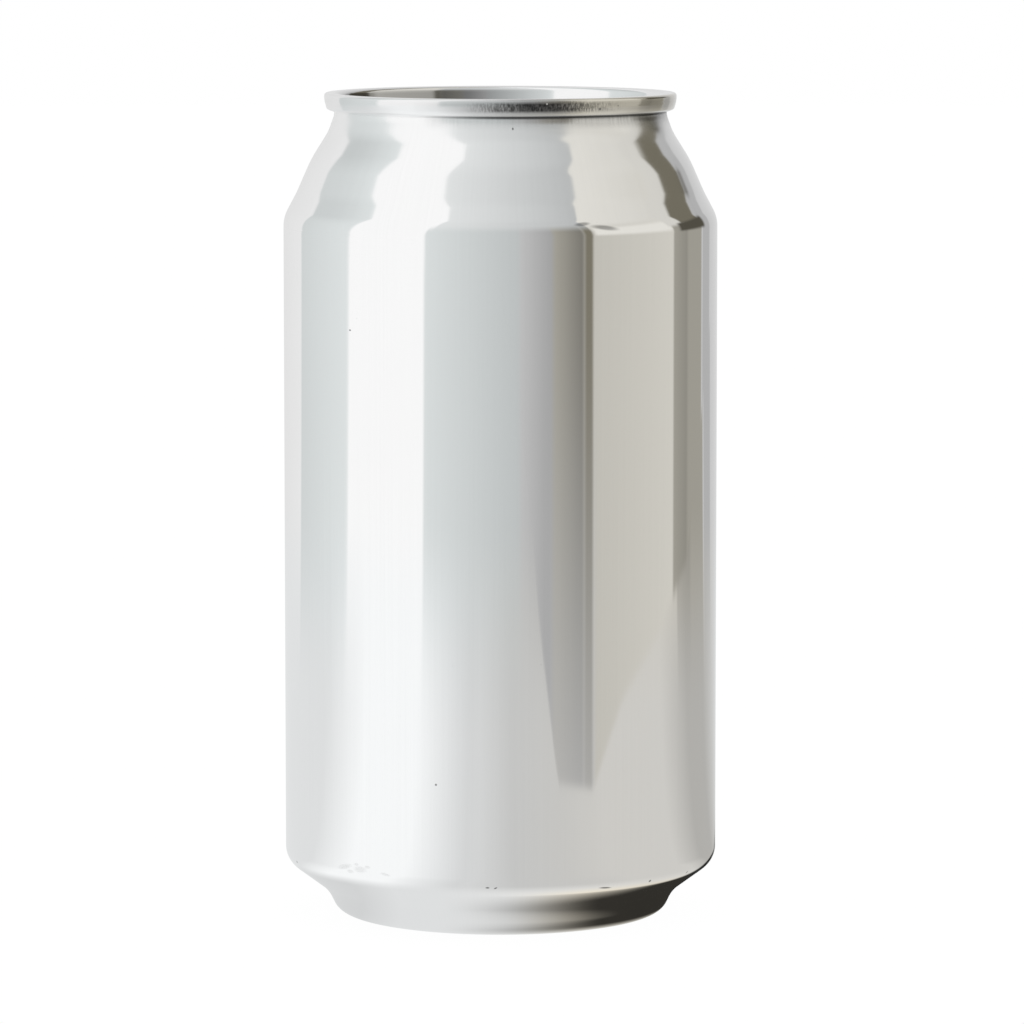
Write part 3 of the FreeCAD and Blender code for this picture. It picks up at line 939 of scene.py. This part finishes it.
def new_paper(name):
    """A material with nothing in its tree, and the tree."""
    material = bpy.data.materials.new(name)
    material.use_nodes = True
    material.node_tree.nodes.clear()
    return material, material.node_tree


def distance_out(tree, place):
    """Distance of a place from the middle of the floor, in millimetres."""
    length = node(tree, "VectorMath", {0: place}, operation="LENGTH").outputs["Value"]
    return product(tree, length, 1 / mm)


floor_ring = spaced(np.array([[0.0, 0.0], [3.0, 0.0]]), 0.25)[::-1]
floor = stage_sheet("pale_floor", turned(floor_ring, 96) - [0, 0, 0.05 * mm])
floor.visible_glossy = False

paper, tree = new_paper("pale_paper")
from_middle = distance_out(tree, node(tree, "TexCoord").outputs["Object"])
paper_tone = sums(tree, "MULTIPLY_ADD", fade(tree, from_middle, 40.0, 22.0), -0.012, 1.004)
glow = node(tree, "Emission", {"Color": grey(1.0), "Strength": paper_tone})
clear = node(tree, "BsdfTransparent")
behind = node(tree, "NewGeometry").outputs["Backfacing"]
both = node(tree, "MixShader", {0: behind, 1: glow.outputs[0], 2: clear.outputs[0]})
node(tree, "OutputMaterial", {"Surface": both.outputs[0]})
floor.data.materials.append(paper)

# %% [markdown]
# The metal mirrors the floor too, and close to the foot what it mirrors changes within a few
# millimetres, so that needs a sheet at its real place and not only a painted room. This second
# sheet is seen by reflections only. Its outer edge is the line where the floor meets the cards,
# which comes near on the right. Its tones are a few soft cards, and a formula puts the can's own
# shade beside the foot on the side away from the light.

# %% The floor that the metal mirrors
def sheet_edge(angle):
    """How far the sheet reaches at each angle, by straight steps between a few known reaches."""
    degrees = (np.degrees(angle) + 180) % 360 - 180
    known = [(-180, 2000), (0, 1400), (10, 900), (20, 400), (28, 190), (46, 180), (65, 290), (90, 380),
             (115, 500), (135, 900), (180, 2000)]
    known_angle, known_reach = np.array(known, float).T
    return np.interp(degrees, known_angle, known_reach) * mm


sheet_angle = np.linspace(0, 2 * np.pi, 240, endpoint=False)
share = np.array([1.05, 0.95, 0.7, 0.4, 0.2, 0.1, 0.0])[:, None]
reach = share * sheet_edge(sheet_angle)
mirror_level = np.full_like(reach, -0.03 * mm)
mirror_grid = np.stack([reach * np.sin(sheet_angle), -reach * np.cos(sheet_angle), mirror_level], axis=-1)
mirrored = stage_sheet("mirrored_floor", mirror_grid)
mirrored.visible_camera = False
share_values = np.append(np.repeat(share[:-1, 0], len(sheet_angle)), 0.0)
share_layer = mirrored.data.attributes.new("share", "FLOAT", "POINT")
share_layer.data.foreach_set("value", share_values.astype(np.float32))

# %% [markdown]
# The sheet's tones lie in two rings, one beside the foot and one further out, and far out they
# melt into the cards of the wall's ring. Then the can's shade and a warm tint are laid over them.

# %% Tones of the mirrored floor

floor_cards = [
    (-180, -100, 87, 87, 0), (-72, -42, 97, 97, 0), (-16, -10, 83, 83, 0), (5, 30, 77, 77, 0),
    (50, 90, 79, 79, 0), (112, 132, 68, 68, 0), (170, 180, 87, 87, 0),
]
foot_cards = [(-180, -60, 84, 82, 0), (-40, 30, 87, 88, 0), (60, 130, 84, 84, 0), (160, 180, 84, 84, 0)]
paper, tree = new_paper("floor_tones")
place = node(tree, "TexCoord").outputs["Object"]
angle, turn, _ = compass(tree, place)
from_middle = distance_out(tree, place)
near = ring(tree, turn, foot_cards)
further = ring(tree, turn, floor_cards)
tone = mixed(tree, fade(tree, from_middle, 30.0, 42.0), near, further)
tone = mixed(tree, fade(tree, from_middle, 230.0, 640.0), tone, ring(tree, turn, wall_cards))

# the can's own shade on the floor: its edge lies further out the further it is from the light
lean_out = sums(tree, "POWER", sums(tree, "MAXIMUM", product(tree, angle, 1 / 120), 0.0), 5.0)
shade_edge = sums(tree, "MULTIPLY_ADD", lean_out, 20.0, sums(tree, "MULTIPLY_ADD", angle, 0.03, 26.6))
beyond = sums(tree, "SUBTRACT", from_middle, shade_edge)
off_dome = fade(tree, from_middle, 23.4, 25.6)
shaded = product(tree, fade(tree, beyond, 2.2, -1.2), fade(tree, angle, -25.0, 40.0),
                 fade(tree, angle, 165.0, 120.0), off_dome)
tone = mixed(tree, product(tree, shaded, 0.96), tone, grey(0.0))
warm_side = product(tree, fade(tree, angle, -30.0, 60.0), fade(tree, angle, 175.0, 120.0))
tint = mixed(tree, warm_side, (0.985, 1.0, 1.005, 1.0), (1.02, 1.0, 0.95, 1.0))
brown = product(tree, fade(tree, angle, 0.0, 35.0), fade(tree, from_middle, 36.0, 29.0),
                fade(tree, angle, 130.0, 90.0), off_dome)
tint = mixed(tree, brown, tint, (1.08, 1.0, 0.84, 1.0))
tint = mixed(tree, fade(tree, from_middle, 640.0, 400.0), (1.0, 1.0, 1.0, 1.0), tint)
tone = node(tree, "VectorMath", {0: tone, 1: tint}, operation="MULTIPLY").outputs[0]
glow = node(tree, "Emission", {"Color": tone, "Strength": 1.0})
share_read = node(tree, "Attribute", attribute_name="share").outputs["Fac"]
clear = node(tree, "BsdfTransparent")
past_edge = fade(tree, share_read, 0.96, 1.04)
both = node(tree, "MixShader", {0: past_edge, 1: glow.outputs[0], 2: clear.outputs[0]})
node(tree, "OutputMaterial", {"Surface": both.outputs[0]})
mirrored.data.materials.append(paper)
print("the mirrored floor has", len(floor_cards) + len(foot_cards), "cards")

# %% [markdown]
# The camera stands well back and a little above, as for a product shot, so that the can's sides
# stay almost parallel. It aims at the middle of the can's height.

# %% Camera
camera_data = bpy.data.cameras.new("camera")
camera = bpy.data.objects.new("camera", camera_data)
bpy.context.scene.collection.objects.link(camera)
camera_data.sensor_width = 36.0
camera_data.lens = 212.12
camera_data.clip_start = 0.05
camera_data.clip_end = 20.0
camera_side = 1.76 * mm
camera_distance = 920.37 * mm
camera_height = 161.894 * mm
aim_height = 61.51 * mm
camera.location = (camera_side, -camera_distance, camera_height)
drop = math.atan2(camera_height - aim_height, camera_distance)
camera.rotation_euler = (math.pi / 2 - drop, 0, 0)
bpy.context.scene.camera = camera
bpy.context.scene.view_settings.view_transform = "Standard"
print("the camera looks down by", round(math.degrees(drop), 2), "degrees")
